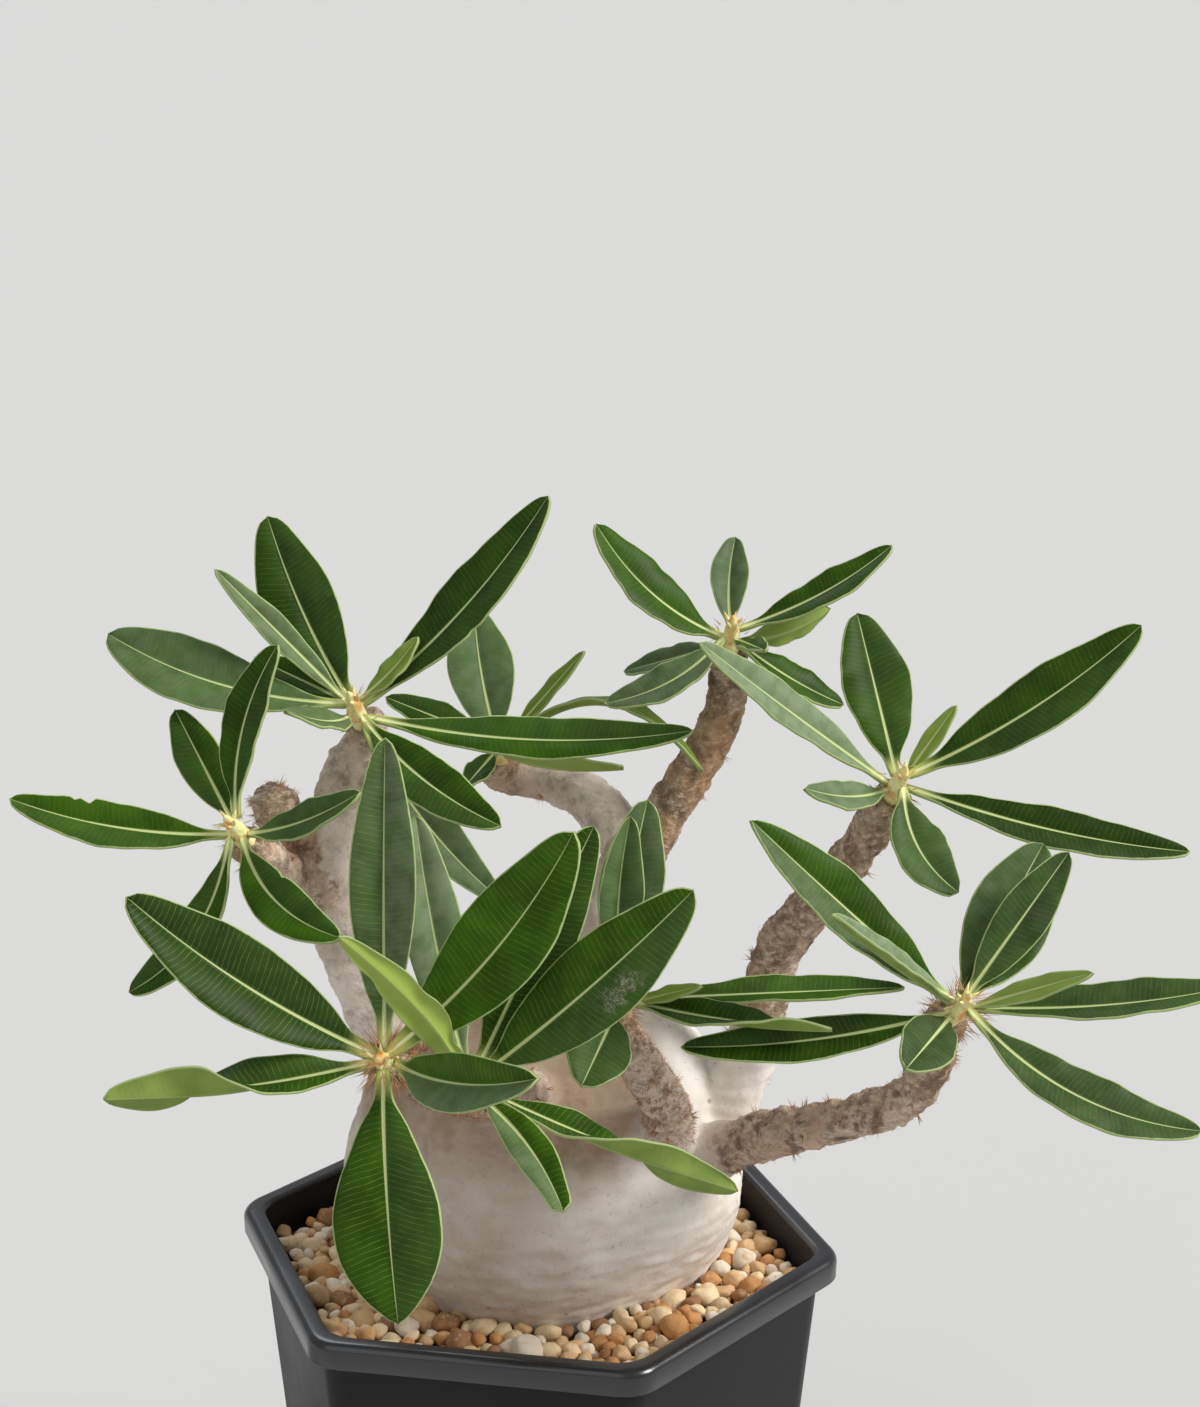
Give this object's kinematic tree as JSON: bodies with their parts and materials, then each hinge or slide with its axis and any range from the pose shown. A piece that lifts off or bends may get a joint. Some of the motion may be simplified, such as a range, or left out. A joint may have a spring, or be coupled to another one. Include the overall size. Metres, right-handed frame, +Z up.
{
  "type": "potted pachypodium",
  "caption": "Swollen-stemmed succulent with spiny branches that end in fans of long pointed leaves, set in gravel in a tapered hexagonal pot.",
  "frame": {"origin": "middle of the pot's flat underside", "axes": "+Z up, +X to the viewer's right and +Y away from the viewer, with the plant's forward branches towards -Y"},
  "size_m": [0.2385, 0.1798, 0.2743],
  "materials": {
    "pot_plastic": "black, dull, with a soft sheen on the rim",
    "soil": "dark crumbly growing mix",
    "gravel_stone": "dry cream, tan and orange pebbles",
    "bark": "silvery beige bark, rough and spiny on the branches",
    "leaf_green": "dark green, faintly glossy, with pale veins, midrib and margin"
  },
  "bodies": {
    "root": {"pot": "pot_plastic", "soil": "soil", "gravel": "gravel_stone", "caudex": "bark", "rosette_front_left": "leaf_green", "rosette_front_middle": "leaf_green", "rosette_front_centre": "leaf_green", "rosette_front_right": "leaf_green", "rosette_left": "leaf_green", "rosette_upper_left": "leaf_green", "rosette_right": "leaf_green", "rosette_upper_right": "leaf_green", "rosette_upper_middle": "leaf_green"}
  },
  "joints": []
}
